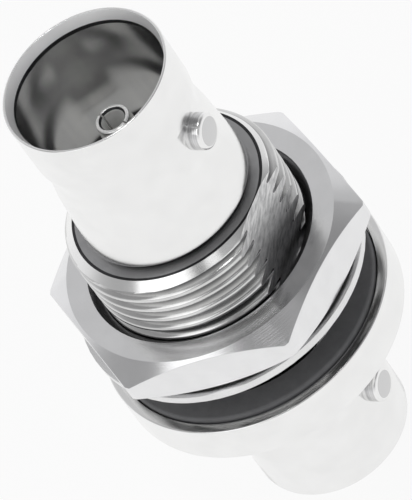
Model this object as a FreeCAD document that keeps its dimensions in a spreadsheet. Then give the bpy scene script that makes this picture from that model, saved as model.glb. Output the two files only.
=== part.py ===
import FreeCAD, Part

import os
import re

import Sketcher

# Bulkhead coaxial adaptor with a bayonet socket at each end, millimetres.
# The axis is Z. The origin is at the centre of the rear mouth, and the front mouth is at the top.
# The bayonet lugs lie along X, and the flat of the thread faces +X, a few degrees toward -Y.

doc = FreeCAD.newDocument("bayonet_adaptor")
sizes = doc.addObject("Spreadsheet::Sheet", "Sizes")

DIMENSIONS = {
    # lengths along the axis
    "jack_length": 10.2,
    "root_gap": 0.44,
    "thread_length": 10.56,
    "flange_thickness": 2.6,
    # the outside of each bayonet barrel, depths counted from its mouth
    "barrel_radius": 4.8,
    "edge_break": 0.06,
    "collar_length": 3.4,
    "collar_taper": 1.2,
    "waist_step": 0.2,
    "waist_length": 0.3,
    "flare_length": 1.6,
    "flare_rise": 0.23,
    "root_rise": 0.5,
    # the inside of each bayonet barrel, depths counted from its mouth
    "lip_width": 0.14,
    "lip_depth": 0.65,
    "entry_wall": 0.38,
    "entry_depth": 2.9,
    "cavity_taper": 0.6,
    "cavity_wall": 0.54,
    "cavity_depth": 8.4,
    "retainer_step": 0.56,
    "retainer_length": 0.8,
    # how the front barrel is pressed into the shell
    "shank_wall": 0.57,
    "shank_length": 6.0,
    "root_groove_depth": 0.25,
    "root_chamfer": 0.2,
    # the bayonet lugs
    "lug_radius": 1.025,
    "lug_height": 0.9,
    "lug_depth": 4.7,
    "lug_edge": 0.12,
    # the threaded section
    "thread_radius": 6.35,
    "thread_end_step": 0.63,
    "thread_end_chamfer": 0.46,
    "thread_pitch": 0.90714,
    "thread_depth": 0.49,
    "thread_flat_depth": 0.73,
    "thread_flat_angle": 4,
    # the flange, and the gasket in its recess
    "flange_overhang": 0.45,
    "flange_edge": 0.12,
    "flange_rim": 0.65,
    "recess_depth": 0.6,
    "recess_clearance": 0.05,
    "gasket_bore_clearance": 0.1,
    "gasket_proud": 0.3,
    "gasket_edge": 0.2,
    # the hexagon nut
    "nut_wall": 1.95,
    "nut_corner_reach": 1.2,
    "nut_thickness": 2.65,
    "nut_upper_chamfer_inset": 0.2,
    "nut_lower_chamfer_inset": 0.05,
    "nut_chamfer_slope": 0.6,
    "nut_clearance": 0.05,
    "nut_countersink": 0.45,
    "nut_height": 3.55,
    "nut_angle": 19.5,
    # the toothed lock washer under the nut
    "washer_overhang": 0.3,
    "washer_rim_width": 1.3,
    "washer_thickness": 0.5,
    "washer_clearance": 0.05,
    "tooth_clearance": 0.15,
    "tooth_width": 1.7,
    "tooth_twist": 0.3,
    "tooth_count": 12,
    # the centre contact and its insulators
    "insulator_clearance": 0.03,
    "contact_radius": 1.05,
    "contact_clearance": 0.03,
    "contact_tip_depth": 3.55,
    "contact_edge": 0.12,
    "contact_collar_step": 0.75,
    "contact_collar_length": 1.2,
    "contact_wall": 0.37,
    "socket_depth": 5.2,
    "socket_lead_in": 0.2,
    "slot_width": 0.1,
    "slot_length": 4.2,
    "contact_angle": 75,
}

for row, (alias, size) in enumerate(DIMENSIONS.items(), start=1):
    sizes.set(f"A{row}", str(size))
    sizes.setAlias(f"A{row}", alias)
doc.recompute()

# Heights of the main planes above the rear mouth, as expressions of the sheet's values.
FLANGE_BOTTOM = "jack_length"
FLANGE_TOP = f"({FLANGE_BOTTOM} + flange_thickness)"
SHELL_END = f"({FLANGE_TOP} + thread_length)"
FRONT_MOUTH = f"({SHELL_END} + root_gap + jack_length)"
MIDDLE = f"({FRONT_MOUTH} / 2)"
SHANK_END = f"({SHELL_END} - shank_length)"
RECESS_FLOOR = f"({FLANGE_TOP} - recess_depth)"
NUT_BOTTOM = f"({FLANGE_TOP} + nut_height)"

# Radii, each worked out from the barrel's, the thread's or the contact's.
BARREL = "barrel_radius"
WAIST = f"({BARREL} - waist_step)"
ROOT = f"({WAIST} + root_rise)"
ENTRY = f"({BARREL} - entry_wall)"
CAVITY = f"({WAIST} - cavity_wall)"
RETAINER = f"({CAVITY} - retainer_step)"
INSULATOR = f"({CAVITY} - 2 * insulator_clearance)"
INSULATOR_BORE = f"({INSULATOR} + insulator_clearance)"
SHANK = f"({INSULATOR_BORE} + shank_wall)"
LUG_TIP = f"({WAIST} + lug_height)"
THREAD = "thread_radius"
THREAD_ROOT = f"({THREAD} - thread_depth)"
NUT_FLAT = f"({THREAD} + nut_wall)"
NUT_CORNER = f"({NUT_FLAT} + nut_corner_reach)"
FLANGE = f"({NUT_FLAT} + flange_overhang)"
RECESS = f"({FLANGE} - flange_rim)"
WASHER = f"({NUT_FLAT} + washer_overhang)"
WASHER_RIM = f"({WASHER} - washer_rim_width)"
CONTACT = "contact_radius"
SOCKET = f"({CONTACT} - contact_wall)"

# A way of +1 counts depths upward from the rear mouth, -1 downward from the front mouth.
MOUTHS = {"rear": ("0", 1), "front": (FRONT_MOUTH, -1)}
LUG_SIDES = {"a": 0, "b": 180}


def bound(text):
    """The expression with every name in it tied to the sheet."""
    return re.sub(rf"\b({'|'.join(DIMENSIONS)})\b", r"Sizes.\1", text)


def number(text):
    return float(sizes.evalExpression(text))


def depth(end, text):
    """Height of a plane that lies this deep inside an end's mouth."""
    mouth, way = MOUTHS[end]
    sign = "+" if way > 0 else "-"
    return f"({mouth} {sign} ({text}))"


def new_body(label):
    body = doc.addObject("PartDesign::Body", label)
    body.Label = label
    return body


def sketch_on(body, role, name, offset=None):
    sketch = body.newObject("Sketcher::SketchObject", name)
    plane = [item for item in body.Origin.OriginFeatures if item.Role == role][0]
    sketch.AttachmentSupport = [(plane, "")]
    sketch.MapMode = "FlatFace"
    if offset:
        sketch.setExpression("AttachmentOffset.Base.z", bound(offset))
    return sketch


def tie(sketch, kind, geometry, point, text):
    """Hold one coordinate of a sketch point at an expression."""
    size = number(text)
    if abs(size) < 1e-9:
        axis = -2 if kind == "DistanceX" else -1
        sketch.addConstraint(Sketcher.Constraint("PointOnObject", geometry, point, axis))
        return
    index = sketch.addConstraint(Sketcher.Constraint(kind, -1, 1, geometry, point, size))
    sketch.setExpression(f"Constraints[{index}]", bound(text))


def outline(sketch, points):
    """Close straight lines through points given as pairs of expressions."""
    places = [FreeCAD.Vector(number(x), number(y), 0) for x, y in points]
    count = len(points)
    for index in range(count):
        edge = Part.LineSegment(places[index], places[(index + 1) % count])
        sketch.addGeometry(edge, False)
    for index in range(count):
        follower = (index + 1) % count
        sketch.addConstraint(Sketcher.Constraint("Coincident", index, 2, follower, 1))
    for index, (x, y) in enumerate(points):
        tie(sketch, "DistanceX", index, 1, x)
        tie(sketch, "DistanceY", index, 1, y)


def circle(sketch, radius, height="0"):
    centre = FreeCAD.Vector(0, number(height), 0)
    ring = Part.Circle(centre, FreeCAD.Vector(0, 0, 1), number(radius))
    index = sketch.addGeometry(ring, False)
    sketch.addConstraint(Sketcher.Constraint("PointOnObject", index, 3, -2))
    tie(sketch, "DistanceY", index, 3, height)
    place = sketch.addConstraint(Sketcher.Constraint("Radius", index, number(radius)))
    sketch.setExpression(f"Constraints[{place}]", bound(radius))


def turned(body, kind, name, points, axis="V_Axis"):
    """Revolve an outline of radius and height: a Revolution adds it, a Groove cuts it."""
    sketch = sketch_on(body, "XZ_Plane", name + "_sketch")
    outline(sketch, points)
    feature = body.newObject("PartDesign::" + kind, name)
    feature.Profile = sketch
    feature.ReferenceAxis = (sketch, [axis])
    return feature


def cross_hole(body, name, radius, height):
    """Drill through the whole body along X."""
    sketch = sketch_on(body, "YZ_Plane", name + "_sketch")
    circle(sketch, radius, height)
    return through_both_ways(body, name, sketch)


def through_both_ways(body, name, sketch):
    hole = body.newObject("PartDesign::Pocket", name)
    hole.Profile = sketch
    hole.Type = "ThroughAll"
    hole.SideType = "Symmetric"
    return hole


def slab(body, name, x_low, x_high, z_low, z_high):
    """Cut a flat-sided slot right through along Y."""
    sketch = sketch_on(body, "XZ_Plane", name + "_sketch")
    outline(sketch, [(x_low, z_low), (x_high, z_low), (x_high, z_high), (x_low, z_high)])
    return through_both_ways(body, name, sketch)


def thread_grooves(body):
    """Cut the thread's relief as a stack of ring grooves from the chamfer down to the gasket."""
    middle = f"({SHELL_END} - thread_end_chamfer - thread_pitch / 2)"
    root = "thread_pitch / 8"
    mouth = "thread_pitch * 61 / 128"
    beyond = f"({THREAD} + thread_depth / 8)"
    section = [
        (THREAD_ROOT, f"{middle} - {root}"),
        (beyond, f"{middle} - {mouth}"),
        (beyond, f"{middle} + {mouth}"),
        (THREAD_ROOT, f"{middle} + {root}"),
    ]
    cut = turned(body, "Groove", "first_groove", section)
    count = "floor((thread_length - thread_end_chamfer) / thread_pitch)"
    row = body.newObject("PartDesign::LinearPattern", "thread_row")
    row.Originals = [cut]
    row.Direction = (cut.Profile[0], ["V_Axis"])
    row.Reversed = True
    row.setExpression("Occurrences", bound(count))
    row.setExpression("Length", bound(f"thread_pitch * ({count} - 1)"))
    body.Tip = row


def barrel_outside(end):
    """Outside of a bayonet barrel from its root to its mouth edge."""
    knee = "collar_length + collar_taper + waist_length + flare_length"
    return [
        (ROOT, depth(end, "jack_length")),
        (f"{WAIST} + flare_rise", depth(end, knee)),
        (WAIST, depth(end, "collar_length + collar_taper + waist_length")),
        (WAIST, depth(end, "collar_length + collar_taper")),
        (BARREL, depth(end, "collar_length")),
        (BARREL, depth(end, "edge_break")),
        (f"{BARREL} - edge_break", depth(end, "0")),
    ]


def barrel_inside(end):
    """Inside of a bayonet barrel from its mouth to behind the insulator's retaining lip."""
    return [
        (f"{BARREL} - lip_width", depth(end, "0")),
        (ENTRY, depth(end, "lip_depth")),
        (ENTRY, depth(end, "entry_depth")),
        (CAVITY, depth(end, "entry_depth + cavity_taper")),
        (CAVITY, depth(end, "cavity_depth")),
        (RETAINER, depth(end, "cavity_depth")),
        (RETAINER, depth(end, "cavity_depth + retainer_length")),
        (INSULATOR_BORE, depth(end, "cavity_depth + retainer_length")),
    ]


def shell():
    """Flange, threaded section and rear barrel, turned as one piece."""
    body = new_body("shell_body")
    section = barrel_outside("rear")[::-1]
    section += [
        (f"{FLANGE} - flange_edge", FLANGE_BOTTOM),
        (FLANGE, f"{FLANGE_BOTTOM} + flange_edge"),
        (FLANGE, RECESS_FLOOR),
        (THREAD, RECESS_FLOOR),
        (THREAD, f"{SHELL_END} - thread_end_chamfer"),
        (f"{THREAD} - thread_end_step", SHELL_END),
        (SHANK, SHELL_END),
        (SHANK, SHANK_END),
        (INSULATOR_BORE, SHANK_END),
    ]
    section += barrel_inside("rear")[::-1]
    turned(body, "Revolution", "shell_turning", section)
    thread_grooves(body)
    flat = slab(
        body, "thread_flat_cut",
        f"{THREAD} - thread_flat_depth", f"{THREAD} + {FLANGE}",
        RECESS_FLOOR, f"{SHELL_END} + thread_length",
    )
    lean = FreeCAD.Rotation(FreeCAD.Vector(0, -1, 0), DIMENSIONS["thread_flat_angle"])
    flat_sketch = flat.Profile[0]
    flat_sketch.AttachmentOffset = FreeCAD.Placement(FreeCAD.Vector(0, 0, 0), lean)
    flat_sketch.setExpression("AttachmentOffset.Rotation.Angle", bound("thread_flat_angle"))
    rim = [
        (RECESS, RECESS_FLOOR),
        (FLANGE, RECESS_FLOOR),
        (FLANGE, f"{FLANGE_TOP} - flange_edge"),
        (f"{FLANGE} - flange_edge", FLANGE_TOP),
        (RECESS, FLANGE_TOP),
    ]
    turned(body, "Revolution", "recess_rim", rim)
    cross_hole(body, "rear_lug_holes", "lug_radius", depth("rear", "lug_depth"))
    return body


def front_barrel():
    """Bayonet barrel whose shank is pressed into the shell."""
    body = new_body("front_barrel")
    groove = f"({ROOT} - root_groove_depth)"
    section = [
        (SHANK, SHANK_END),
        (SHANK, SHELL_END),
        (groove, SHELL_END),
        (groove, f"{SHELL_END} + root_gap - root_chamfer"),
    ]
    section += barrel_outside("front")
    section += barrel_inside("front")
    section += [(INSULATOR_BORE, SHANK_END)]
    turned(body, "Revolution", "barrel_turning", section)
    cross_hole(body, "front_lug_holes", "lug_radius", depth("front", "lug_depth"))
    return body


def lug(end, side):
    """Pin pressed through a barrel's wall, flush with the cavity inside."""
    body = new_body(f"{end}_lug_{side}")
    outside = [
        ("0", "0"),
        (LUG_TIP, "0"),
        (LUG_TIP, "lug_radius - lug_edge"),
        (f"{LUG_TIP} - lug_edge", "lug_radius"),
        ("0", "lug_radius"),
    ]
    turned(body, "Revolution", "pin", outside, "H_Axis")
    inside = [
        ("0", "-2 * lug_radius"),
        (CAVITY, "-2 * lug_radius"),
        (CAVITY, "2 * lug_radius"),
        ("0", "2 * lug_radius"),
    ]
    turned(body, "Groove", "cavity_trim", inside)
    turn = FreeCAD.Rotation(FreeCAD.Vector(0, 0, 1), LUG_SIDES[side])
    body.Placement = FreeCAD.Placement(FreeCAD.Vector(0, 0, 0), turn)
    body.setExpression("Placement.Base.z", bound(depth(end, "lug_depth")))
    return body


def gasket():
    """Flat rubber ring in the flange's recess."""
    body = new_body("gasket")
    bore = f"({THREAD} + gasket_bore_clearance)"
    outside = f"({RECESS} - recess_clearance)"
    top = f"({FLANGE_TOP} + gasket_proud)"
    section = [
        (bore, RECESS_FLOOR),
        (outside, RECESS_FLOOR),
        (outside, f"{top} - gasket_edge"),
        (f"{outside} - gasket_edge", top),
        (bore, top),
    ]
    turned(body, "Revolution", "ring", section)
    return body


def hex_nut():
    """Hexagon nut with turned corners, a chamfer on each face and a countersunk bore."""
    body = new_body("hex_nut")
    top = f"({NUT_BOTTOM} + nut_thickness)"
    blank = sketch_on(body, "XY_Plane", "hexagon", NUT_BOTTOM)
    corner = f"({NUT_FLAT} / cos(30))"
    turns = range(0, 360, 60)
    outline(blank, [(f"{corner} * cos({turn})", f"{corner} * sin({turn})") for turn in turns])
    pad = body.newObject("PartDesign::Pad", "nut_blank")
    pad.Profile = blank
    pad.setExpression("Length", bound("nut_thickness"))
    upper_chamfer = f"({NUT_FLAT} - nut_upper_chamfer_inset)"
    lower_chamfer = f"({NUT_FLAT} - nut_lower_chamfer_inset)"
    clear = f"({corner} + nut_thickness)"
    corner_turning = [
        (upper_chamfer, top),
        (NUT_CORNER, f"{top} - nut_chamfer_slope * ({NUT_CORNER} - {upper_chamfer})"),
        (NUT_CORNER, f"{NUT_BOTTOM} + nut_chamfer_slope * ({NUT_CORNER} - {lower_chamfer})"),
        (lower_chamfer, NUT_BOTTOM),
        (clear, NUT_BOTTOM),
        (clear, top),
    ]
    turned(body, "Groove", "corner_turning", corner_turning)
    bore = f"({THREAD} + nut_clearance)"
    bore_turning = [
        ("0", NUT_BOTTOM),
        (f"{bore} + nut_countersink", NUT_BOTTOM),
        (bore, f"{NUT_BOTTOM} + nut_countersink"),
        (bore, f"{top} - nut_countersink"),
        (f"{bore} + nut_countersink", top),
        ("0", top),
    ]
    turned(body, "Groove", "bore_turning", bore_turning)
    body.setExpression("Placement.Rotation.Angle", bound("nut_angle"))
    return body


def lock_washer():
    """Flat rim with twisted teeth pointing inward."""
    body = new_body("lock_washer")
    tooth_top = f"({NUT_BOTTOM} - washer_clearance)"
    tooth_low = f"({tooth_top} - washer_thickness - tooth_twist)"
    rim_low = f"({tooth_low} + tooth_twist / 2)"
    rim_top = f"({rim_low} + washer_thickness)"
    rim = [
        (WASHER_RIM, rim_low),
        (WASHER, rim_low),
        (WASHER, rim_top),
        (WASHER_RIM, rim_top),
    ]
    ring = turned(body, "Revolution", "rim", rim)
    tip = f"({THREAD} + tooth_clearance)"
    section = sketch_on(body, "YZ_Plane", "tooth_sketch", tip)
    half = "tooth_width / 2"
    corners = [
        (f"-{half}", tooth_low),
        (half, f"{tooth_low} + tooth_twist"),
        (half, tooth_top),
        (f"-{half}", f"{tooth_low} + washer_thickness"),
    ]
    outline(section, corners)
    tooth = body.newObject("PartDesign::Pad", "tooth")
    tooth.Profile = section
    tooth.setExpression("Length", bound(f"({WASHER_RIM} + {WASHER}) / 2 - {tip}"))
    teeth = body.newObject("PartDesign::PolarPattern", "teeth")
    teeth.Originals = [tooth]
    teeth.Axis = (ring.Profile[0], ["V_Axis"])
    teeth.Angle = 360
    teeth.setExpression("Occurrences", bound("tooth_count"))
    body.Tip = teeth
    return body


def centre_contact():
    """Contact with a slotted socket at each end and a collar at its middle."""
    body = new_body("centre_contact")
    rear_tip = depth("rear", "contact_tip_depth")
    front_tip = depth("front", "contact_tip_depth")
    collar = f"({CONTACT} + contact_collar_step)"
    collar_low = f"({MIDDLE} - contact_collar_length / 2)"
    collar_top = f"({MIDDLE} + contact_collar_length / 2)"
    section = [
        ("0", rear_tip),
        (f"{CONTACT} - contact_edge", rear_tip),
        (CONTACT, f"{rear_tip} + contact_edge"),
        (CONTACT, collar_low),
        (collar, collar_low),
        (collar, collar_top),
        (CONTACT, collar_top),
        (CONTACT, f"{front_tip} - contact_edge"),
        (f"{CONTACT} - contact_edge", front_tip),
        ("0", front_tip),
    ]
    turned(body, "Revolution", "contact_turning", section)
    for end in MOUTHS:
        tip = depth(end, "contact_tip_depth")
        socket = [
            ("0", tip),
            (f"{SOCKET} + socket_lead_in", tip),
            (SOCKET, depth(end, "contact_tip_depth + socket_lead_in")),
            (SOCKET, depth(end, "contact_tip_depth + socket_depth")),
            ("0", depth(end, f"contact_tip_depth + socket_depth + {SOCKET} / 2")),
        ]
        turned(body, "Groove", f"{end}_socket", socket)
        slot_end = depth(end, "contact_tip_depth + slot_length")
        slab(body, f"{end}_slot", "-slot_width / 2", "slot_width / 2", tip, slot_end)
    body.setExpression("Placement.Rotation.Angle", bound("contact_angle"))
    return body


def insulator(end):
    """Insulator behind a retaining lip, meeting its twin at the contact's collar."""
    body = new_body(f"{end}_insulator")
    bore = f"({CONTACT} + contact_clearance)"
    collar_bore = f"({CONTACT} + contact_collar_step + contact_clearance)"
    nose = f"({RETAINER} - insulator_clearance)"
    face = depth(end, "cavity_depth")
    step = depth(end, "cavity_depth + retainer_length")
    _, way = MOUTHS[end]
    sign = "-" if way > 0 else "+"
    collar_seat = f"({MIDDLE} {sign} contact_collar_length / 2)"
    section = [
        (bore, face),
        (nose, face),
        (nose, step),
        (INSULATOR, step),
        (INSULATOR, MIDDLE),
        (collar_bore, MIDDLE),
        (collar_bore, collar_seat),
        (bore, collar_seat),
    ]
    turned(body, "Revolution", "insulator_turning", section)
    return body


parts = [shell(), front_barrel()]
for end_name in MOUTHS:
    for side_name in LUG_SIDES:
        parts.append(lug(end_name, side_name))
parts += [gasket(), hex_nut(), lock_washer(), centre_contact()]
for end_name in MOUTHS:
    parts.append(insulator(end_name))
doc.recompute()

for item in doc.Objects:
    if "Invalid" in item.State or "Error" in item.State:
        raise RuntimeError(f"{item.Label} did not recompute: {item.State}")
for part in parts:
    if part.Shape.isNull() or not part.Shape.isValid():
        raise RuntimeError(f"{part.Label} has no valid shape")
    if len(part.Shape.Solids) != 1:
        raise RuntimeError(f"{part.Label} is {len(part.Shape.Solids)} solids")

os.makedirs("parts", exist_ok=True)
for part in parts:
    part.Shape.exportStep(f"parts/{part.Label}.step")
    box = part.Shape.BoundBox
    print(f"{part.Label}: {part.Shape.Volume:.2f} mm3, z {box.ZMin:.2f} to {box.ZMax:.2f}")
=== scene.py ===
import math

import bmesh
import bpy
import numpy as np
from mathutils import Matrix, Vector


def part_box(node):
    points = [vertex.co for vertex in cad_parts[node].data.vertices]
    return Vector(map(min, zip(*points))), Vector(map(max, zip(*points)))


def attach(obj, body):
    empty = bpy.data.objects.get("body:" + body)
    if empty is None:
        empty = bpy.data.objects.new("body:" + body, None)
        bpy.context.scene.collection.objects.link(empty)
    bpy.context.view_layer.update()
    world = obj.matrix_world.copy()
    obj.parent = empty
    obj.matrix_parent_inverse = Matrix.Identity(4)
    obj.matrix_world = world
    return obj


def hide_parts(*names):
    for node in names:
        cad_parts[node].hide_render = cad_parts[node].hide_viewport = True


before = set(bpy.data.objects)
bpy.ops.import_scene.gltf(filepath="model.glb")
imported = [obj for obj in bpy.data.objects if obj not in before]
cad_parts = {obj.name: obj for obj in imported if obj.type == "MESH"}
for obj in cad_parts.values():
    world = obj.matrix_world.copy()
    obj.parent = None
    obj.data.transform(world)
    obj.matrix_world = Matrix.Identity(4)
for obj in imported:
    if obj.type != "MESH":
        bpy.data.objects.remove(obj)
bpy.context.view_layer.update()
MM = 0.001


def level(node, corner):
    """Height of a CAD node's low (0) or high (1) end, in millimetres."""
    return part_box(node)[corner].z / MM


# Heights above the rear mouth, in millimetres, read from the CAD nodes in model.glb.
FRONT_MOUTH = level("front_barrel", 1)
SHANK_END = level("front_barrel", 0)
SHELL_END = level("shell_body", 1)
RECESS_FLOOR = level("gasket", 0)
GASKET_TOP = level("gasket", 1)
NUT_BOTTOM = level("hex_nut", 0)
NUT_TOP = level("hex_nut", 1)
TOOTH_LOW = level("lock_washer", 0)
TOOTH_TOP = level("lock_washer", 1)

# Sizes of the turned shapes, in millimetres.
JACK_LENGTH = 10.2
BARREL = 4.8
COLLAR_LENGTH = 3.4
WAIST = 4.6
WAIST_START = 4.6
WAIST_END = 4.9
FLARE_END = 6.5
FLARE = 4.83
ROOT = 5.1
MOUTH = 4.66
LIP_DEPTH = 0.65
LIP_SHADOW = 0.27
ENTRY = 4.42
ENTRY_DEPTH = 2.9
CAVITY_START = 5.6
CAVITY = 4.06
CAVITY_DEPTH = 8.4
RETAINER = 3.5
RETAINER_LENGTH = 0.8
INSULATOR = 4.0
INSULATOR_BORE = 4.03
INSULATOR_GAP = 0.03
SHANK = 4.6
ROOT_GROOVE = 4.85
ROOT_CHAMFER = 0.2
LUG = 1.025
LUG_TIP = 5.5
LUG_EDGE = 0.22
LUG_SEAT = 4.4
LUG_DEPTH = 4.7
FLANGE = 8.75
RECESS = 8.1
RECESS_DEPTH = 0.6
FLANGE_TOP = RECESS_FLOOR + RECESS_DEPTH
GASKET_BORE = 6.45
GASKET = 8.05
THREAD = 6.35
THREAD_END = 5.72
THREAD_END_CHAMFER = 0.46
FACE_RIM = 0.17
THREAD_FLAT = 5.62
FLAT_TURN = math.radians(-4)
THREAD_PITCH = 25.4 / 28
THREAD_DEPTH = 0.52
THREAD_ROOT = THREAD - THREAD_DEPTH
NUT_FLAT = 8.3
NUT_CORNER = 9.5
NUT_ANGLE = 19.5
NUT_UPPER_CHAMFER = 8.1
NUT_LOWER_CHAMFER = 8.25
NUT_CHAMFER_SLOPE = 0.6
NUT_GAP = 0.05
NUT_COUNTERSINK = 0.45
WASHER = 8.6
WASHER_RIM = 7.3
WASHER_THICKNESS = 0.5
TOOTH_TIP = 6.5
TWIST_END = 7.9
TWIST_SPAN = 0.9
TOOTH_WIDTH = 1.7
TOOTH_COUNT = 12
CONTACT = 1.05
CONTACT_TIP_DEPTH = 3.55
CONTACT_COLLAR = 1.8
CONTACT_COLLAR_LENGTH = 1.2
CONTACT_ANGLE = 75
CONTACT_TIP_INSET = 0.07
CONTACT_TAPER = 0.7
SOCKET = 0.68
SOCKET_DEPTH = 5.2
LEAD_IN = 0.12
LEAD_IN_DEPTH = 0.16
SLOT_WIDTH = 0.1
SLOT_LENGTH = 4.2
MIDDLE = FRONT_MOUTH / 2

TURN_SEGMENTS = 192
SHELL_SEGMENTS = 240
SMALL_SEGMENTS = 96
PIN_SEGMENTS = 64
# Points closer than this, in metres, are welded.
WELD = 1e-7
# Longest step along the thread's profile, and the height at which its turns start.
FLANK_STEP = 0.075
THREAD_PHASE = 0.65
# Column of the even angles that is moved to the edge of the flat.
BASE_EDGE = math.radians(30)
# Distances, in millimetres, within which a face counts as lying on a surface.
NEAR = 0.01
HAIR = 0.001

# The camera's place, measured in the photograph: it aims at a point of the axis.
AIM_HEIGHT = 18.0
CAMERA_DISTANCE = 258.18
CAMERA_AZIMUTH = -44.0
CAMERA_ELEVATION = 45.836
CAMERA_ROLL = 35.58
FOCAL_PIXELS = 4653.65
PHOTO_HEIGHT = 500
SENSOR = 24.0

# The pale floor: half its width in metres, and the share of it that is its own white.
FLOOR_HALF = 0.6
FLOOR_WHITE = 0.9

# Darker parts of the studio: azimuth, elevation, full and faded radius in degrees, and share
# of the light that is left. The first is where the photographer stands.
SCREENS = (
    (-54, 47, 15, 25, 0.5), (36, 44, 16, 38, 0.5), (-44, 76, 6, 14, 0.5), (-153, 42, 10, 28, 0.6)
)

# Grey of the studio by the height of the direction: 0 is level, 1 is overhead.
SKY_GREYS = ((0.0, 0.95), (0.3, 0.8), (0.7, 0.62), (0.88, 0.48), (1.0, 0.42))


def rounded(corners, steps=4):
    """Closed outline with an arc at each corner given as radius, height and arc radius."""
    points = []
    count = len(corners)
    for index, (x, z, arc) in enumerate(corners):
        here = Vector((x, z))
        if arc <= 0:
            points.append((x, z))
            continue
        back = Vector(corners[index - 1][:2]) - here
        ahead = Vector(corners[(index + 1) % count][:2]) - here
        half = back.angle(ahead) / 2
        reach = min(arc / math.tan(half), 0.48 * back.length, 0.48 * ahead.length)
        radius = reach * math.tan(half)
        centre = here + (back.normalized() + ahead.normalized()).normalized() * (
            radius / math.sin(half)
        )
        first = here + back.normalized() * reach - centre
        last = here + ahead.normalized() * reach - centre
        sweep = first.angle(last)
        for step in range(steps + 1):
            share = step / steps
            arm = (
                first * math.sin((1 - share) * sweep) + last * math.sin(share * sweep)
            ) / math.sin(sweep)
            points.append((centre.x + arm.x, centre.y + arm.y))
    return points


def finish_mesh(name, vertices, faces, sharp=35):
    """Weld a grid into a closed mesh, face it outward and shade it smooth up to an angle."""
    mesh = bpy.data.meshes.new(name)
    mesh.from_pydata([tuple(v) for v in vertices], [], faces)
    work = bmesh.new()
    work.from_mesh(mesh)
    bmesh.ops.remove_doubles(work, verts=work.verts, dist=WELD)
    bmesh.ops.dissolve_degenerate(work, edges=work.edges, dist=WELD)
    bmesh.ops.recalc_face_normals(work, faces=work.faces)
    work.to_mesh(mesh)
    work.free()
    mesh.shade_smooth()
    mesh.set_sharp_from_angle(angle=math.radians(sharp))
    piece = bpy.data.objects.new(name, mesh)
    bpy.context.scene.collection.objects.link(piece)
    return piece


def grid(name, rows, sharp=35):
    """Closed surface through rows of points, each row running once round the axis."""
    rows = np.asarray(rows, float) * MM
    count, columns = rows.shape[:2]
    faces = []
    for i in range(count):
        after = (i + 1) % count
        for j in range(columns - 1):
            faces.append(
                (
                    i * columns + j,
                    i * columns + j + 1,
                    after * columns + j + 1,
                    after * columns + j,
                )
            )
    return finish_mesh(name, rows.reshape(-1, 3), faces, sharp)


def ring(radius, height, angles):
    """A row of points at one radius and height, or at one of each for every angle."""
    radius = np.broadcast_to(radius, angles.shape)
    height = np.broadcast_to(height, angles.shape)
    return np.stack([radius * np.cos(angles), radius * np.sin(angles), height], axis=1)


def even_angles(segments):
    """Angles once round the axis, the first and the last at its far side."""
    return np.linspace(-math.pi, math.pi, segments + 1)


def lathe(name, corners, segments=TURN_SEGMENTS, steps=4):
    """Turn an outline given as corners with arcs."""
    angles = even_angles(segments)
    outline = rounded(corners, steps)
    return grid(name, [ring(r, z, angles) for r, z in outline])


def weigh_normals(piece):
    """Keep flat faces flat in the shading beside their small rounded edges."""
    modifier = piece.modifiers.new("normals", "WEIGHTED_NORMAL")
    modifier.mode = "FACE_AREA"
    modifier.keep_sharp = True
    modifier.weight = 50


def jack_outside(depth):
    """Outside of a bayonet barrel, root to mouth; depth(d) is the height d inside the mouth."""
    return [
        (ROOT, depth(JACK_LENGTH), 0.05),
        (FLARE, depth(FLARE_END), 1.0),
        (WAIST, depth(WAIST_END), 0.4),
        (WAIST, depth(WAIST_START), 0.4),
        (BARREL, depth(COLLAR_LENGTH), 0.3),
        (BARREL, depth(0), 0.07),
    ]


def jack_inside(depth):
    """Inside of a bayonet barrel, mouth to the back of the insulator's retaining lip."""
    return [
        (MOUTH, depth(0), 0.03),
        (ENTRY, depth(LIP_DEPTH), 0.02),
        (ENTRY, depth(LIP_DEPTH + LIP_SHADOW), 0),
        (ENTRY, depth(ENTRY_DEPTH), 12),
        (CAVITY, depth(CAVITY_START), 12),
        (CAVITY, depth(CAVITY_DEPTH), 0),
        (RETAINER, depth(CAVITY_DEPTH), 0.05),
        (RETAINER, depth(CAVITY_DEPTH + RETAINER_LENGTH), 0),
        (INSULATOR_BORE, depth(CAVITY_DEPTH + RETAINER_LENGTH), 0),
    ]


def from_front(d):
    return FRONT_MOUTH - d


def from_rear(d):
    return d


def thread_outline():
    """One pitch of the thread as radius and height, from a crest on, corners eased."""
    crest = THREAD_PITCH * 0.14
    root = THREAD_PITCH * 0.4
    corners = [
        (THREAD_ROOT, -root, 0),
        (THREAD, -crest, 0.16),
        (THREAD, crest, 0.16),
        (THREAD_ROOT, root, 0.09),
        (THREAD_ROOT, THREAD_PITCH - root, 0.09),
        (THREAD, THREAD_PITCH - crest, 0),
    ]
    eased = rounded(corners, steps=3)[1:-1]
    eased.append((eased[0][0], eased[0][1] + THREAD_PITCH))
    points = []
    for (r0, z0), (r1, z1) in zip(eased, eased[1:]):
        parts = max(1, math.ceil((z1 - z0) / FLANK_STEP))
        for part in range(parts):
            share = part / parts
            points.append((r0 + (r1 - r0) * share, z0 + (z1 - z0) * share))
    return points


def thread_rows(low, high):
    """Start height and radius of each helical row that passes between two heights."""
    outline = thread_outline()
    first = math.floor((low - THREAD_PITCH) / THREAD_PITCH) - 1
    last = math.ceil((high + THREAD_PITCH) / THREAD_PITCH)
    rows = []
    for turn in range(first, last):
        rows += [(turn * THREAD_PITCH + THREAD_PHASE + z, r) for r, z in outline]
    return [row for row in rows if low - THREAD_PITCH < row[0] < high + THREAD_PITCH]


def flat_edge(radius):
    """Half of the angle that the flat takes from a circle of this radius."""
    return np.arccos(np.clip(THREAD_FLAT / radius, -1, 1))


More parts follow.
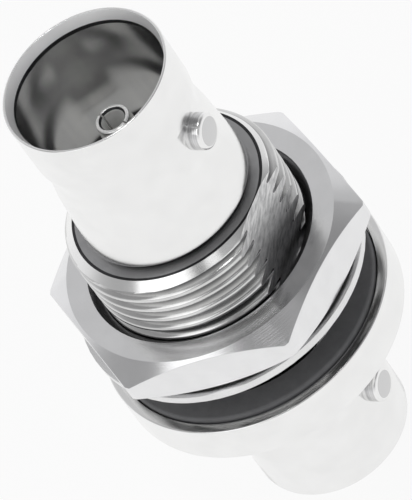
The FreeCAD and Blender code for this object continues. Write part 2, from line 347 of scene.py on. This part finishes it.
def flatted_angles(base, edge):
    """Move the columns so that those at the base edge lie on the flat's edge."""
    inside = np.abs(base) <= BASE_EDGE + 1e-9
    within = base * edge / BASE_EDGE
    share = (np.abs(base) - BASE_EDGE) / (math.pi - BASE_EDGE)
    beyond = np.sign(base) * (edge + share * (math.pi - edge))
    return np.where(inside, within, beyond)


def flatted_ring(radius, height, base):
    """A row on a flatted round of this radius, the flat turned to its own direction."""
    radius = np.broadcast_to(np.asarray(radius, float), base.shape)
    angles = flatted_angles(base, flat_edge(radius))
    # only the columns on the flat use the chord, so the angle is held away from a right angle
    chord = THREAD_FLAT / np.cos(np.clip(angles, -1.2, 1.2))
    inside = np.abs(base) <= BASE_EDGE + 1e-9
    reach = np.where(inside, np.minimum(radius, chord), radius)
    return ring(reach, height, angles + FLAT_TURN)


def external_thread(base):
    """Helical rows from the gasket's seat to the end face, with the flat and end chamfer."""
    rows = []
    chamfer_slope = (THREAD - THREAD_END) / THREAD_END_CHAMFER
    for start, crest in thread_rows(RECESS_FLOOR, SHELL_END):
        radius = np.full(base.shape, crest)
        # The radius and the height on the chamfer depend on each other: four passes settle them.
        for _ in range(4):
            angles = flatted_angles(base, flat_edge(radius))
            height = start + THREAD_PITCH * (angles + FLAT_TURN) / (2 * math.pi)
            cone = THREAD_END + np.maximum(SHELL_END - height, 0) * chamfer_slope
            radius = np.minimum(crest, cone)
            radius = np.where(height <= RECESS_FLOOR, THREAD, radius)
            radius = np.where(height >= SHELL_END, THREAD_END, radius)
        height = np.clip(height, RECESS_FLOOR, SHELL_END)
        rows.append(flatted_ring(radius, height, base))
    return rows


def shell():
    """Flange, threaded section and rear barrel."""
    base = even_angles(SHELL_SEGMENTS)
    outside = jack_outside(from_rear)[::-1]
    flange = [
        (FLANGE, JACK_LENGTH, 0.12),
        (FLANGE, FLANGE_TOP, 0.1),
        (RECESS, FLANGE_TOP, 0.05),
        (RECESS, RECESS_FLOOR, 0),
    ]
    lead = [(THREAD, RECESS_FLOOR, 0)]
    inside = [
        (THREAD_END - FACE_RIM, SHELL_END, 0),
        (SHANK, SHELL_END, 0.05),
        (SHANK, SHANK_END, 0),
        (INSULATOR_BORE, SHANK_END, 0),
    ]
    inside += jack_inside(from_rear)[::-1]
    lower = rounded(outside + flange + lead + inside)
    seat = lower.index((THREAD, RECESS_FLOOR))
    rows = [ring(r, z, base + FLAT_TURN) for r, z in lower[:seat]]
    rows += external_thread(base)
    rows += [ring(r, z, base + FLAT_TURN) for r, z in lower[seat + 1:]]
    piece = grid("shell", rows, sharp=28)
    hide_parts("shell_body")
    return piece


def barrel():
    """Front bayonet barrel."""
    root = FRONT_MOUTH - JACK_LENGTH
    corners = [
        (SHANK, SHANK_END, 0.1),
        (SHANK, SHELL_END, 0),
        (ROOT_GROOVE, SHELL_END, 0),
        (ROOT_GROOVE, root - ROOT_CHAMFER, 0.03),
    ]
    corners += jack_outside(from_front)
    corners += jack_inside(from_front)
    corners += [(INSULATOR_BORE, SHANK_END, 0.05)]
    piece = lathe("barrel", corners)
    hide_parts("front_barrel")
    return piece


def lug(end, side, height, turn):
    """Bayonet pin with an eased tip, seated in the barrel's wall."""
    corners = [
        (0, LUG_SEAT, 0),
        (LUG, LUG_SEAT, 0.03),
        (LUG, LUG_TIP, LUG_EDGE),
        (0, LUG_TIP, 0),
    ]
    piece = lathe(f"{end}_pin_{side}", corners, segments=PIN_SEGMENTS)
    lay = Matrix.Rotation(math.radians(turn), 4, "Z") @ Matrix.Rotation(math.pi / 2, 4, "Y")
    piece.data.transform(Matrix.Translation((0, 0, height * MM)) @ lay)
    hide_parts(f"{end}_lug_{side}")
    return piece


def seal():
    """Rubber ring with eased edges."""
    corners = [
        (GASKET_BORE, RECESS_FLOOR, 0.05),
        (GASKET, RECESS_FLOOR, 0.05),
        (GASKET, GASKET_TOP, 0.2),
        (GASKET_BORE, GASKET_TOP, 0.08),
    ]
    piece = lathe("seal", corners, steps=6)
    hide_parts("gasket")
    return piece


def nut_angles():
    """Columns of the nut: both ends of each turned corner, and even steps between."""
    turned = 30 - math.degrees(math.acos(NUT_FLAT / NUT_CORNER))
    offsets = [-turned, 0] + list(np.linspace(turned, 60 - turned, 15)[:-1])
    columns = [NUT_ANGLE + 60 * side + offset for side in range(6) for offset in offsets]
    columns = sorted((angle + 180) % 360 - 180 for angle in columns)
    return np.radians([columns[-1] - 360] + columns)


def internal_thread(angles):
    """Helical rows of the nut's bore, which follow the shell's thread with a gap."""
    rows = []
    bore = THREAD + NUT_GAP
    face = bore + NUT_COUNTERSINK
    for start, crest in thread_rows(NUT_BOTTOM, NUT_TOP):
        height = start + THREAD_PITCH * angles / (2 * math.pi)
        depth = np.minimum(height - NUT_BOTTOM, NUT_TOP - height)
        cone = face - np.maximum(depth, 0)
        radius = np.where(depth <= 0, face, np.maximum(crest + NUT_GAP, cone))
        rows.append(ring(radius, np.clip(height, NUT_BOTTOM, NUT_TOP), angles))
    return rows


def nut():
    """Hexagon nut with turned corners, chamfers and an internal thread."""
    angles = nut_angles()
    sector = (np.degrees(angles) - NUT_ANGLE + 360) % 60 - 30
    side = np.minimum(NUT_FLAT / np.cos(np.radians(sector)), NUT_CORNER)
    top = NUT_TOP - NUT_CHAMFER_SLOPE * (side - NUT_UPPER_CHAMFER)
    low = NUT_BOTTOM + NUT_CHAMFER_SLOPE * (side - NUT_LOWER_CHAMFER)
    ease = 0.02
    rows = internal_thread(angles)
    rows += [
        ring(NUT_UPPER_CHAMFER, NUT_TOP, angles),
        ring(side - ease, top + NUT_CHAMFER_SLOPE * ease, angles),
        ring(side, top - ease, angles),
        ring(side, low + ease, angles),
        ring(side - ease, low - NUT_CHAMFER_SLOPE * ease, angles),
        ring(NUT_LOWER_CHAMFER - ease, NUT_BOTTOM, angles),
    ]
    piece = grid("nut", rows, sharp=20)
    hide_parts("hex_nut")
    return piece


def washer():
    """Flat rim with twisted inner teeth."""
    middle = (TOOTH_LOW + TOOTH_TOP) / 2
    half = WASHER_THICKNESS / 2
    twist = (TOOTH_TOP - TOOTH_LOW - WASHER_THICKNESS) / 2
    period = 2 * math.pi / TOOTH_COUNT
    across = np.linspace(-1, 1, 7)
    tooth_radii = [TOOTH_TIP, 6.7, 6.9, 7.1, 7.25, WASHER_RIM]
    rim_radii = [WASHER_RIM, 7.7, 8.0, 8.3, WASHER - 0.05, WASHER]
    vertices = []
    faces = []

    def lift(radius, share):
        blend = min(max((TWIST_END - radius) / TWIST_SPAN, 0), 1)
        return twist * share * blend * blend * (3 - 2 * blend)

    def add(radius, angle, height):
        vertices.append((radius * math.cos(angle), radius * math.sin(angle), height))
        return len(vertices) - 1

    def skin(table):
        for i in range(len(table) - 1):
            for j in range(len(table[0]) - 1):
                faces.append((table[i][j], table[i][j + 1], table[i + 1][j + 1], table[i + 1][j]))

    for tooth in range(TOOTH_COUNT):
        centre = tooth * period
        spread = math.asin(TOOTH_WIDTH / 2 / WASHER_RIM)
        gap_shares = np.linspace(0, 1, 4)[1:-1]
        gap = [spread + share * (period - 2 * spread) for share in gap_shares]
        stations = [(centre + spread * share, share) for share in across]
        stations += [(centre + turn, 1 - 2 * share) for turn, share in zip(gap, gap_shares)]
        stations += [(centre + period - spread, -1.0)]
        for sign in (1, -1):
            table = [
                [add(r, a, middle + lift(r, s) + sign * half) for a, s in stations]
                for r in rim_radii
            ]
            skin(table)
            blade = []
            for r in tooth_radii:
                reach = math.asin(TOOTH_WIDTH / 2 / r)
                blade.append(
                    [add(r, centre + reach * s, middle + lift(r, s) + sign * half) for s in across]
                )
            skin(blade)
        edges = [[(WASHER, a, s) for a, s in stations]]
        tip_reach = math.asin(TOOTH_WIDTH / 2 / TOOTH_TIP)
        edges.append([(TOOTH_TIP, centre + tip_reach * s, s) for s in across])
        for share in (-1, 1):
            edges.append(
                [(r, centre + share * math.asin(TOOTH_WIDTH / 2 / r), share) for r in tooth_radii]
            )
        edges.append([(WASHER_RIM, a, s) for a, s in stations[len(across) - 1:]])
        for edge in edges:
            skin(
                [
                    [add(r, a, middle + lift(r, s) + half) for r, a, s in edge],
                    [add(r, a, middle + lift(r, s) - half) for r, a, s in edge],
                ]
            )
    piece = finish_mesh("star_washer", np.array(vertices) * MM, faces, sharp=40)
    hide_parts("lock_washer")
    return piece


def cut_away(piece, tools):
    """Cut solids out of a piece and drop them."""
    for tool in tools:
        modifier = piece.modifiers.new("cut", "BOOLEAN")
        modifier.object = tool
        modifier.operation = "DIFFERENCE"
        modifier.solver = "EXACT"
    graph = bpy.context.evaluated_depsgraph_get()
    mesh = bpy.data.meshes.new_from_object(piece.evaluated_get(graph))
    piece.modifiers.clear()
    piece.data = mesh
    mesh.shade_smooth()
    mesh.set_sharp_from_angle(angle=math.radians(35))
    for tool in tools:
        bpy.data.objects.remove(tool)


def block(low, high):
    """Plain box between two corners, used only as a cutter."""
    work = bmesh.new()
    bmesh.ops.create_cube(work, size=1)
    size = Vector(high) - Vector(low)
    middle = (Vector(high) + Vector(low)) / 2
    bmesh.ops.scale(work, vec=size, verts=work.verts)
    bmesh.ops.translate(work, vec=middle, verts=work.verts)
    mesh = bpy.data.meshes.new("cutter")
    work.to_mesh(mesh)
    work.free()
    cutter = bpy.data.objects.new("cutter", mesh)
    bpy.context.scene.collection.objects.link(cutter)
    return cutter


def contact():
    """Tube contact with a slotted socket at each end."""
    def end(depth, inward):
        tip = depth(CONTACT_TIP_DEPTH)
        bottom = depth(CONTACT_TIP_DEPTH + SOCKET_DEPTH)
        return [
            (0, bottom + inward * SOCKET / 2, 0),
            (SOCKET, bottom, 0),
            (SOCKET, tip + inward * LEAD_IN_DEPTH, 0.06),
            (SOCKET + LEAD_IN, tip, 0.04),
            (CONTACT - CONTACT_TIP_INSET, tip, 0.09),
            (CONTACT, tip + inward * CONTACT_TAPER, 0),
        ]

    collar_low = MIDDLE - CONTACT_COLLAR_LENGTH / 2
    collar_top = MIDDLE + CONTACT_COLLAR_LENGTH / 2
    corners = end(from_rear, 1)
    corners += [
        (CONTACT, collar_low, 0),
        (CONTACT_COLLAR, collar_low, 0.05),
        (CONTACT_COLLAR, collar_top, 0.05),
        (CONTACT, collar_top, 0),
    ]
    corners += end(from_front, -1)[::-1]
    piece = lathe("contact", corners, segments=SMALL_SEGMENTS)
    slots = []
    for tip, inner in (
        (CONTACT_TIP_DEPTH - 1, CONTACT_TIP_DEPTH + SLOT_LENGTH),
        (FRONT_MOUTH - CONTACT_TIP_DEPTH + 1, FRONT_MOUTH - CONTACT_TIP_DEPTH - SLOT_LENGTH),
    ):
        low = Vector((-SLOT_WIDTH / 2, -CONTACT - 1, min(tip, inner))) * MM
        high = Vector((SLOT_WIDTH / 2, CONTACT + 1, max(tip, inner))) * MM
        slots.append(block(low, high))
    turn = Matrix.Rotation(math.radians(CONTACT_ANGLE), 4, "Z")
    for slot in slots:
        slot.data.transform(turn)
    cut_away(piece, slots)
    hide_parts("centre_contact")
    return piece


def insulator(end, depth, inward):
    """Insulator with a collar seat for the contact."""
    bore = CONTACT + INSULATOR_GAP
    seat = MIDDLE - inward * CONTACT_COLLAR_LENGTH / 2
    corners = [
        (bore, depth(CAVITY_DEPTH), 0.05),
        (RETAINER - INSULATOR_GAP, depth(CAVITY_DEPTH), 0.05),
        (RETAINER - INSULATOR_GAP, depth(CAVITY_DEPTH + RETAINER_LENGTH), 0),
        (INSULATOR, depth(CAVITY_DEPTH + RETAINER_LENGTH), 0),
        (INSULATOR, MIDDLE, 0.05),
        (CONTACT_COLLAR + INSULATOR_GAP, MIDDLE, 0),
        (CONTACT_COLLAR + INSULATOR_GAP, seat, 0),
        (bore, seat, 0),
    ]
    piece = lathe(f"{end}_bead", corners, segments=SMALL_SEGMENTS)
    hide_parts(f"{end}_insulator")
    return piece


class Nodes:
    """Short way to write a material's nodes."""

    def __init__(self, name):
        self.material = bpy.data.materials.new(name)
        self.material.use_nodes = True
        self.tree = self.material.node_tree
        self.tree.nodes.clear()
        self.output = self.add("ShaderNodeOutputMaterial")

    def add(self, kind, **inputs):
        node = self.tree.nodes.new(kind)
        for key, value in inputs.items():
            socket = node.inputs[key.replace("_", " ")]
            if isinstance(value, bpy.types.NodeSocket):
                self.tree.links.new(value, socket)
            else:
                socket.default_value = value
        return node

    def math(self, operation, first, second=0.0, third=None):
        node = self.tree.nodes.new("ShaderNodeMath")
        node.operation = operation
        for index, value in enumerate((first, second, third)):
            if value is None:
                continue
            if isinstance(value, bpy.types.NodeSocket):
                self.tree.links.new(value, node.inputs[index])
            else:
                node.inputs[index].default_value = value
        return node.outputs[0]

    def ramp(self, source, *stops):
        node = self.tree.nodes.new("ShaderNodeValToRGB")
        self.tree.links.new(source, node.inputs[0])
        elements = node.color_ramp.elements
        while len(elements) < len(stops):
            elements.new(0.5)
        for element, (place, colour) in zip(elements, stops):
            element.position = place
            element.color = (*colour, 1)
        return node.outputs[0]

    def place(self):
        """Object coordinates in millimetres: x, y, z and the radius."""
        source = self.add("ShaderNodeTexCoord").outputs["Object"]
        split = self.add("ShaderNodeSeparateXYZ", Vector=source).outputs
        x, y, z = (self.math("MULTIPLY", split[axis], 1 / MM) for axis in range(3))
        radius = self.math(
            "SQRT", self.math("ADD", self.math("MULTIPLY", x, x), self.math("MULTIPLY", y, y))
        )
        return x, y, z, radius

    def noise(self, vector, scale, detail=2.0, rough=0.5):
        node = self.add("ShaderNodeTexNoise", Vector=vector, Scale=scale, Detail=detail)
        node.inputs["Roughness"].default_value = rough
        return node.outputs["Fac"]

    def mix(self, factor, first, second):
        node = self.tree.nodes.new("ShaderNodeMix")
        node.data_type = "RGBA"
        for index, value in ((0, factor), (6, first), (7, second)):
            socket = node.inputs[index]
            if isinstance(value, bpy.types.NodeSocket):
                self.tree.links.new(value, socket)
            else:
                socket.default_value = (*value, 1) if isinstance(value, tuple) else value
        return node.outputs[2]

    def shade(self, **inputs):
        shader = self.add("ShaderNodeBsdfPrincipled", **inputs)
        self.tree.links.new(shader.outputs[0], self.output.inputs[0])
        return self.material


def plated(name, light, dark, rough, mark_depth, groove=None):
    """Plated metal with turning marks and faint tone clouds, with painted shade low in a groove if
    given.
    """
    n = Nodes(name)
    x, y, z, radius = n.place()
    lathe_marks = n.add("ShaderNodeCombineXYZ", X=radius, Y=z).outputs[0]
    marks = n.noise(lathe_marks, 14.0, 3.0, 0.6)
    solid = n.add("ShaderNodeCombineXYZ", X=x, Y=y, Z=z).outputs[0]
    clouds = n.noise(solid, 0.55, 3.0, 0.55)
    grain = n.noise(solid, 38.0, 2.0, 0.6)
    tone = n.ramp(clouds, (0.3, dark), (0.7, light))
    # Painted shade: the tone darkens toward the groove's root.
    if groove:
        raised = radius_share(n, radius, groove)
        shadow = n.ramp(raised, (0.0, (0.0,) * 3), (1.0, (1.0,) * 3))
        tone = n.mix(shadow, (0.16, 0.16, 0.165), tone)
    gloss = n.math("MULTIPLY_ADD", grain, 0.08, rough)
    height = n.math("ADD", n.math("MULTIPLY", marks, 0.7), n.math("MULTIPLY", grain, 0.3))
    bump = n.add("ShaderNodeBump", Height=height, Distance=mark_depth * MM)
    bump.inputs["Strength"].default_value = 1.0
    return n.shade(Base_Color=tone, Metallic=1.0, Roughness=gloss, Normal=bump.outputs[0])


def cavity_plate():
    """Polished plating inside the barrels, with axial streaks, and painted shade darkening it
    toward the bottom.
    """
    n = Nodes("nickel_cavity")
    x, y, z, radius = n.place()
    around = n.add(
        "ShaderNodeCombineXYZ",
        X=n.math("DIVIDE", x, radius),
        Y=n.math("DIVIDE", y, radius),
        Z=n.math("MULTIPLY", z, 0.02),
    ).outputs[0]
    streaks = n.noise(around, 2.3, 3.0, 0.6)
    tone = n.ramp(streaks, (0.34, (0.8, 0.8, 0.81)), (0.64, (0.95, 0.95, 0.945)))
    # Painted shade: the wall darkens toward the bottom of the cavity.
    from_middle = n.math("ABSOLUTE", n.math("SUBTRACT", z, MIDDLE))
    deep = MIDDLE - CAVITY_DEPTH
    shade = n.ramp(
        n.math("DIVIDE", n.math("SUBTRACT", from_middle, deep), CAVITY_DEPTH),
        (0.0, (0.4,) * 3), (0.1, (1.0,) * 3),
    )
    tone = n.mix(shade, (0.05, 0.05, 0.052), tone)
    marks = n.noise(n.add("ShaderNodeCombineXYZ", X=radius, Y=z).outputs[0], 14.0, 3.0, 0.6)
    bump = n.add("ShaderNodeBump", Height=marks, Distance=0.0005 * MM)
    return n.shade(Base_Color=tone, Metallic=1.0, Roughness=0.17, Normal=bump.outputs[0])


def radius_share(n, radius, span):
    """0 at the first radius of the span and 1 at the second."""
    low, high = span
    return n.math("DIVIDE", n.math("SUBTRACT", radius, low), high - low)


def rubber():
    """Dark matt rubber with a fine grain."""
    n = Nodes("gasket_rubber")
    x, y, z, _ = n.place()
    solid = n.add("ShaderNodeCombineXYZ", X=x, Y=y, Z=z).outputs[0]
    clouds = n.noise(solid, 1.4, 3.0, 0.6)
    grain = n.noise(solid, 22.0, 3.0, 0.65)
    tone = n.ramp(clouds, (0.3, (0.118, 0.119, 0.123)), (0.72, (0.145, 0.146, 0.15)))
    bump = n.add("ShaderNodeBump", Height=grain, Distance=0.012 * MM)
    gloss = n.math("MULTIPLY_ADD", grain, 0.15, 0.45)
    return n.shade(Base_Color=tone, Roughness=gloss, Normal=bump.outputs[0])


def insulation():
    """White plastic with faint turning marks."""
    n = Nodes("insulator_white")
    x, y, z, radius = n.place()
    solid = n.add("ShaderNodeCombineXYZ", X=x, Y=y, Z=z).outputs[0]
    clouds = n.noise(solid, 1.1, 2.0, 0.5)
    tone = n.ramp(clouds, (0.3, (0.74, 0.74, 0.72)), (0.7, (0.82, 0.82, 0.8)))
    marks = n.noise(n.add("ShaderNodeCombineXYZ", X=radius, Y=z).outputs[0], 9.0, 2.0, 0.5)
    bump = n.add("ShaderNodeBump", Height=marks, Distance=0.008 * MM)
    return n.shade(Base_Color=tone, Roughness=0.5, Normal=bump.outputs[0])


def dress(piece, body, slot, *materials, chooser=None):
    """Give a piece its materials and its body; the slot is not used."""
    for material in materials:
        piece.data.materials.append(material)
    if chooser:
        for face in piece.data.polygons:
            centre = face.center / MM
            face.material_index = chooser(centre)
    weigh_normals(piece)
    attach(piece, body)


# Index of each metal of the shell and the barrel, in the order that build() gives them.
PLATE, POLISHED, SATIN, PAINTED_SHADE, DULL_AND_SHADED, THREADED, MILLED = range(7)


def barrel_zone(place):
    """Index of the metal at a place of a barrel."""
    radius = math.hypot(place.x, place.y)
    height = place.z
    depth = min(height, FRONT_MOUTH - height)
    # Painted shade on the top of the insulator's retaining lip.
    if RETAINER < radius < CAVITY and abs(depth - CAVITY_DEPTH) < NEAR:
        return PAINTED_SHADE
    if radius < ENTRY + 2 * HAIR and depth > LIP_DEPTH + LIP_SHADOW:
        return POLISHED
    # Painted shade in a band just below the mouth's lip.
    if radius < ENTRY + 2 * HAIR and depth > LIP_DEPTH - NEAR:
        return PAINTED_SHADE
    if radius < MOUTH and depth <= LIP_DEPTH:
        return SATIN
    # Painted shade in the groove at the barrel's root.
    root = FRONT_MOUTH - JACK_LENGTH
    if SHELL_END - NEAR < height < root - ROOT_CHAMFER:
        return PAINTED_SHADE
    return PLATE


def shell_zone(place):
    """Index of the metal at a place of the shell."""
    if place.z < JACK_LENGTH:
        return barrel_zone(place)
    radius = math.hypot(place.x, place.y)
    # The end face: its outer rim is painted shade, the rest a darker copy of the plate, painted
    # shade too.
    if place.z > SHELL_END - HAIR:
        return PAINTED_SHADE if radius > THREAD_END - FACE_RIM else DULL_AND_SHADED
    # Painted shade on the wall of the flange's recess round the seal.
    if place.z > RECESS_FLOOR - HAIR and abs(radius - RECESS) < 10 * NEAR:
        return PAINTED_SHADE
    on_thread = THREAD_FLAT - 10 * NEAR < radius < THREAD + 2 * NEAR
    if place.z <= RECESS_FLOOR or not on_thread:
        return PLATE
    toward_flat = place.x * math.cos(FLAT_TURN) + place.y * math.sin(FLAT_TURN)
    if toward_flat > THREAD_FLAT - NEAR:
        return MILLED
    # Below the end chamfer the thread takes its darker copy of the plate, painted shade.
    return PLATE if place.z > SHELL_END - THREAD_END_CHAMFER * 0.8 else THREADED


def nut_zone(place):
    """Index of the metal at a place of the nut: outside, or the threaded bore, whose darker
    plating is painted shade.
    """
    bore = THREAD + NUT_GAP + NUT_COUNTERSINK - 2 * NEAR
    return 1 if math.hypot(place.x, place.y) < bore else 0


def pin_zone(place):
    """Index of the metal at a place of a pin: side and tip, or the tip's eased edge."""
    height = min(place.z, FRONT_MOUTH - place.z)
    rim = math.hypot(place.y, height - LUG_DEPTH) > LUG - LUG_EDGE
    return 1 if rim and abs(place.x) > LUG_TIP - LUG_EDGE else 0


def contact_zone(place):
    """Index of the metal at a place of the contact: outside, dull socket, or painted shade on its
    lead-in.
    """
    radius = math.hypot(place.x, place.y)
    if radius < SOCKET + NEAR:
        return 1
    # The socket's lead-in is painted shade.
    return 2 if radius < SOCKET + LEAD_IN - NEAR else 0


def milled_metal(name, light, dark, rough):
    """Plating over the milled flat, with marks along the cut."""
    n = Nodes(name)
    _, y, z, _ = n.place()
    across = n.add(
        "ShaderNodeCombineXYZ", X=n.math("MULTIPLY", y, 0.35), Z=n.math("MULTIPLY_ADD", y, -0.4, z)
    ).outputs[0]
    marks = n.noise(across, 4.5, 3.0, 0.6)
    tone = n.ramp(marks, (0.36, dark), (0.62, light))
    bump = n.add("ShaderNodeBump", Height=marks, Distance=0.004 * MM)
    return n.shade(Base_Color=tone, Metallic=1.0, Roughness=rough, Normal=bump.outputs[0])


def pin_metal(name, light, dark, rough):
    """Plated pin with turning marks round its own axis."""
    n = Nodes(name)
    x, _, _, _ = n.place()
    reach = n.math("ABSOLUTE", x)
    marks = n.noise(n.add("ShaderNodeCombineXYZ", X=reach).outputs[0], 4.0, 3.0, 0.6)
    tone = n.ramp(marks, (0.35, dark), (0.6, light))
    gloss = n.math("MULTIPLY_ADD", marks, 0.1, rough)
    bump = n.add("ShaderNodeBump", Height=marks, Distance=0.02 * MM)
    return n.shade(Base_Color=tone, Metallic=1.0, Roughness=gloss, Normal=bump.outputs[0])


def build():
    """Make every piece and give it its metals and its body."""
    nickel = plated("nickel", (0.9, 0.9, 0.895), (0.86, 0.86, 0.855), 0.14, 0.0008)
    # Thread plating: a darker copy of the plate, painted shade, with more painted shade in its
    # roots.
    threaded = plated(
        "nickel_thread_painted_shade", (0.74, 0.74, 0.735), (0.62, 0.62, 0.615), 0.12, 0.0012,
        groove=(THREAD_ROOT, THREAD_ROOT + 0.3),
    )
    cavity = cavity_plate()
    satin = plated("nickel_satin", (0.95, 0.95, 0.945), (0.9, 0.9, 0.9), 0.5, 0.0015)
    # Near-black plating: painted shade in grooves, gaps and under edges.
    shade = plated("nickel_painted_shade", (0.06, 0.06, 0.062), (0.04, 0.04, 0.042), 0.3, 0.001)
    # End-face plating: rougher, and its grey tone is painted shade.
    face = plated("nickel_face_painted_shade", (0.42, 0.42, 0.425), (0.35, 0.35, 0.355), 0.45, 0.002)
    nut_metal = plated("nickel_nut", (0.84, 0.84, 0.845), (0.79, 0.79, 0.795), 0.13, 0.004)
    # Nut bore plating: a darker copy of the plate, painted shade.
    nut_bore_painted_shade = plated("nickel_nut_bore", (0.26, 0.26, 0.265), (0.2, 0.2, 0.205), 0.24, 0.0015)
    pin = pin_metal("nickel_pin", (0.8, 0.8, 0.8), (0.4, 0.4, 0.405), 0.14)
    washer_metal = plated("washer_plate", (0.82, 0.82, 0.82), (0.75, 0.75, 0.75), 0.24, 0.002)
    contact_metal = plated("contact_plate", (0.88, 0.88, 0.87), (0.82, 0.82, 0.81), 0.18, 0.001)
    socket = plated("contact_socket", (0.95, 0.95, 0.94), (0.9, 0.9, 0.89), 0.75, 0.001)

    milled = milled_metal("nickel_milled", (0.78, 0.78, 0.78), (0.45, 0.45, 0.455), 0.3)

    metals = (nickel, cavity, satin, shade, face, threaded, milled)
    dress(shell(), "connector", "nickel_plate", *metals, chooser=shell_zone)
    # the barrel has no end face, thread or flat, so it takes the first four
    dress(barrel(), "connector", "nickel_plate", *metals[:DULL_AND_SHADED], chooser=barrel_zone)
    for end, height in (("front", FRONT_MOUTH - LUG_DEPTH), ("rear", LUG_DEPTH)):
        for side, turn in (("a", 0), ("b", 180)):
            piece = lug(end, side, height, turn)
            dress(piece, "connector", "nickel_plate", pin, nickel, chooser=pin_zone)
    dress(seal(), "connector", "gasket_rubber", rubber())
    socket_metals = (contact_metal, socket, shade)
    dress(contact(), "connector", "contact_plate", *socket_metals, chooser=contact_zone)
    white = insulation()
    dress(insulator("rear", from_rear, 1), "connector", "insulator_plastic", white)
    dress(insulator("front", from_front, -1), "connector", "insulator_plastic", white)
    dress(washer(), "washer", "washer_steel", washer_metal)
    dress(nut(), "nut", "nickel_plate", nut_metal, nut_bore_painted_shade, chooser=nut_zone)


def camera():
    """Camera at the photograph's viewing angle."""
    azimuth = math.radians(CAMERA_AZIMUTH)
    roll = math.radians(CAMERA_ROLL)
    away = pointing(CAMERA_AZIMUTH, CAMERA_ELEVATION)
    level_right = Vector((-math.sin(azimuth), math.cos(azimuth), 0))
    level_up = away.cross(level_right)
    right = level_right * math.cos(roll) - level_up * math.sin(roll)
    up = away.cross(right)
    data = bpy.data.cameras.new("camera")
    data.sensor_fit = "VERTICAL"
    data.sensor_height = SENSOR
    data.lens = FOCAL_PIXELS * SENSOR / PHOTO_HEIGHT
    data.clip_start = 0.01
    data.clip_end = 5
    eye = bpy.data.objects.new("camera", data)
    place = (Vector((0, 0, AIM_HEIGHT)) + away * CAMERA_DISTANCE) * MM
    turn = Matrix((right, up, away)).transposed().to_4x4()
    eye.matrix_world = Matrix.Translation(place) @ turn
    bpy.context.scene.collection.objects.link(eye)
    bpy.context.scene.camera = eye


def wire(tree, kind, *inputs):
    """Add a node and feed its first inputs with sockets or values."""
    node = tree.nodes.new(kind)
    for socket, value in zip(node.inputs, inputs):
        if isinstance(value, bpy.types.NodeSocket):
            tree.links.new(value, socket)
        else:
            socket.default_value = value
    return node


def combine(tree, operation, first, second):
    node = wire(tree, "ShaderNodeMath", first, second)
    node.operation = operation
    return node.outputs[0]


def floor():
    """Pale floor, as white in reflections as it is seen, with the part's soft shadow."""
    mesh = bpy.data.meshes.new("floor")
    mesh.from_pydata(
        [(FLOOR_HALF * x, FLOOR_HALF * y, 0) for x, y in ((-1, -1), (1, -1), (1, 1), (-1, 1))],
        [],
        [(0, 1, 2, 3)],
    )
    ground = bpy.data.objects.new("floor", mesh)
    bpy.context.scene.collection.objects.link(ground)
    material = bpy.data.materials.new("floor")
    material.use_nodes = True
    tree = material.node_tree
    tree.nodes.clear()
    path = tree.nodes.new("ShaderNodeLightPath").outputs
    directly = combine(tree, "MAXIMUM", path["Is Camera Ray"], path["Is Transmission Ray"])
    seen = combine(tree, "MAXIMUM", directly, path["Is Glossy Ray"])
    share = combine(tree, "MULTIPLY", seen, FLOOR_WHITE)
    matte = wire(tree, "ShaderNodeBsdfDiffuse", (0.9, 0.9, 0.9, 1))
    glow = wire(tree, "ShaderNodeEmission", (1, 1, 1, 1), 1.0)
    blend = wire(tree, "ShaderNodeMixShader", share, matte.outputs[0], glow.outputs[0])
    wire(tree, "ShaderNodeOutputMaterial", blend.outputs[0])
    mesh.materials.append(material)


def pointing(azimuth, elevation):
    """Unit vector toward an azimuth and elevation in degrees."""
    azimuth = math.radians(azimuth)
    elevation = math.radians(elevation)
    return Vector(
        (
            math.cos(elevation) * math.cos(azimuth),
            math.cos(elevation) * math.sin(azimuth),
            math.sin(elevation),
        )
    )


def surroundings():
    """Studio that is white low down and greyer above, with a few darker parts."""
    world = bpy.data.worlds.new("studio")
    bpy.context.scene.world = world
    world.use_nodes = True
    tree = world.node_tree
    tree.nodes.clear()
    direction = tree.nodes.new("ShaderNodeTexCoord").outputs["Generated"]
    height = wire(tree, "ShaderNodeSeparateXYZ", direction).outputs[2]
    sky = wire(tree, "ShaderNodeValToRGB", height)
    stops = sky.color_ramp.elements
    for place, grey in SKY_GREYS[1:-1]:
        stops.new(place)
    for stop, (place, grey) in zip(stops, SKY_GREYS):
        stop.position = place
        stop.color = (grey, grey, grey * 1.01, 1)
    strength = 1.0
    for azimuth, elevation, near, far, grey in SCREENS:
        toward = wire(tree, "ShaderNodeVectorMath", direction, pointing(azimuth, elevation))
        toward.operation = "DOT_PRODUCT"
        span = math.cos(math.radians(far)), math.cos(math.radians(near))
        screen = wire(tree, "ShaderNodeMapRange", toward.outputs["Value"], *span, 1.0, grey)
        screen.interpolation_type = "SMOOTHSTEP"
        strength = combine(tree, "MULTIPLY", strength, screen.outputs[0])
    studio = wire(tree, "ShaderNodeBackground", sky.outputs[0], strength)
    wire(tree, "ShaderNodeOutputWorld", studio.outputs[0])


def lamp(name, azimuth, elevation, distance, size, radiance):
    """Soft square lamp aimed at the part's middle, as bright as its radiance says."""
    data = bpy.data.lights.new(name, "AREA")
    data.shape = "SQUARE"
    data.size = size
    data.energy = radiance * math.pi * size * size
    light = bpy.data.objects.new(name, data)
    away = pointing(azimuth, elevation)
    light.location = Vector((0, 0, MIDDLE * MM)) + away * distance
    light.rotation_euler = away.to_track_quat("Z", "Y").to_euler()
    bpy.context.scene.collection.objects.link(light)


build()
camera()
floor()
surroundings()
lamp("left", -108, 50, 0.5, 0.3, 0.9)
lamp("high", -44, 62, 0.5, 0.09, 0.9)
lamp("top", 90, 88, 0.5, 0.1, 9.0)
bpy.context.scene.view_settings.view_transform = "Standard"
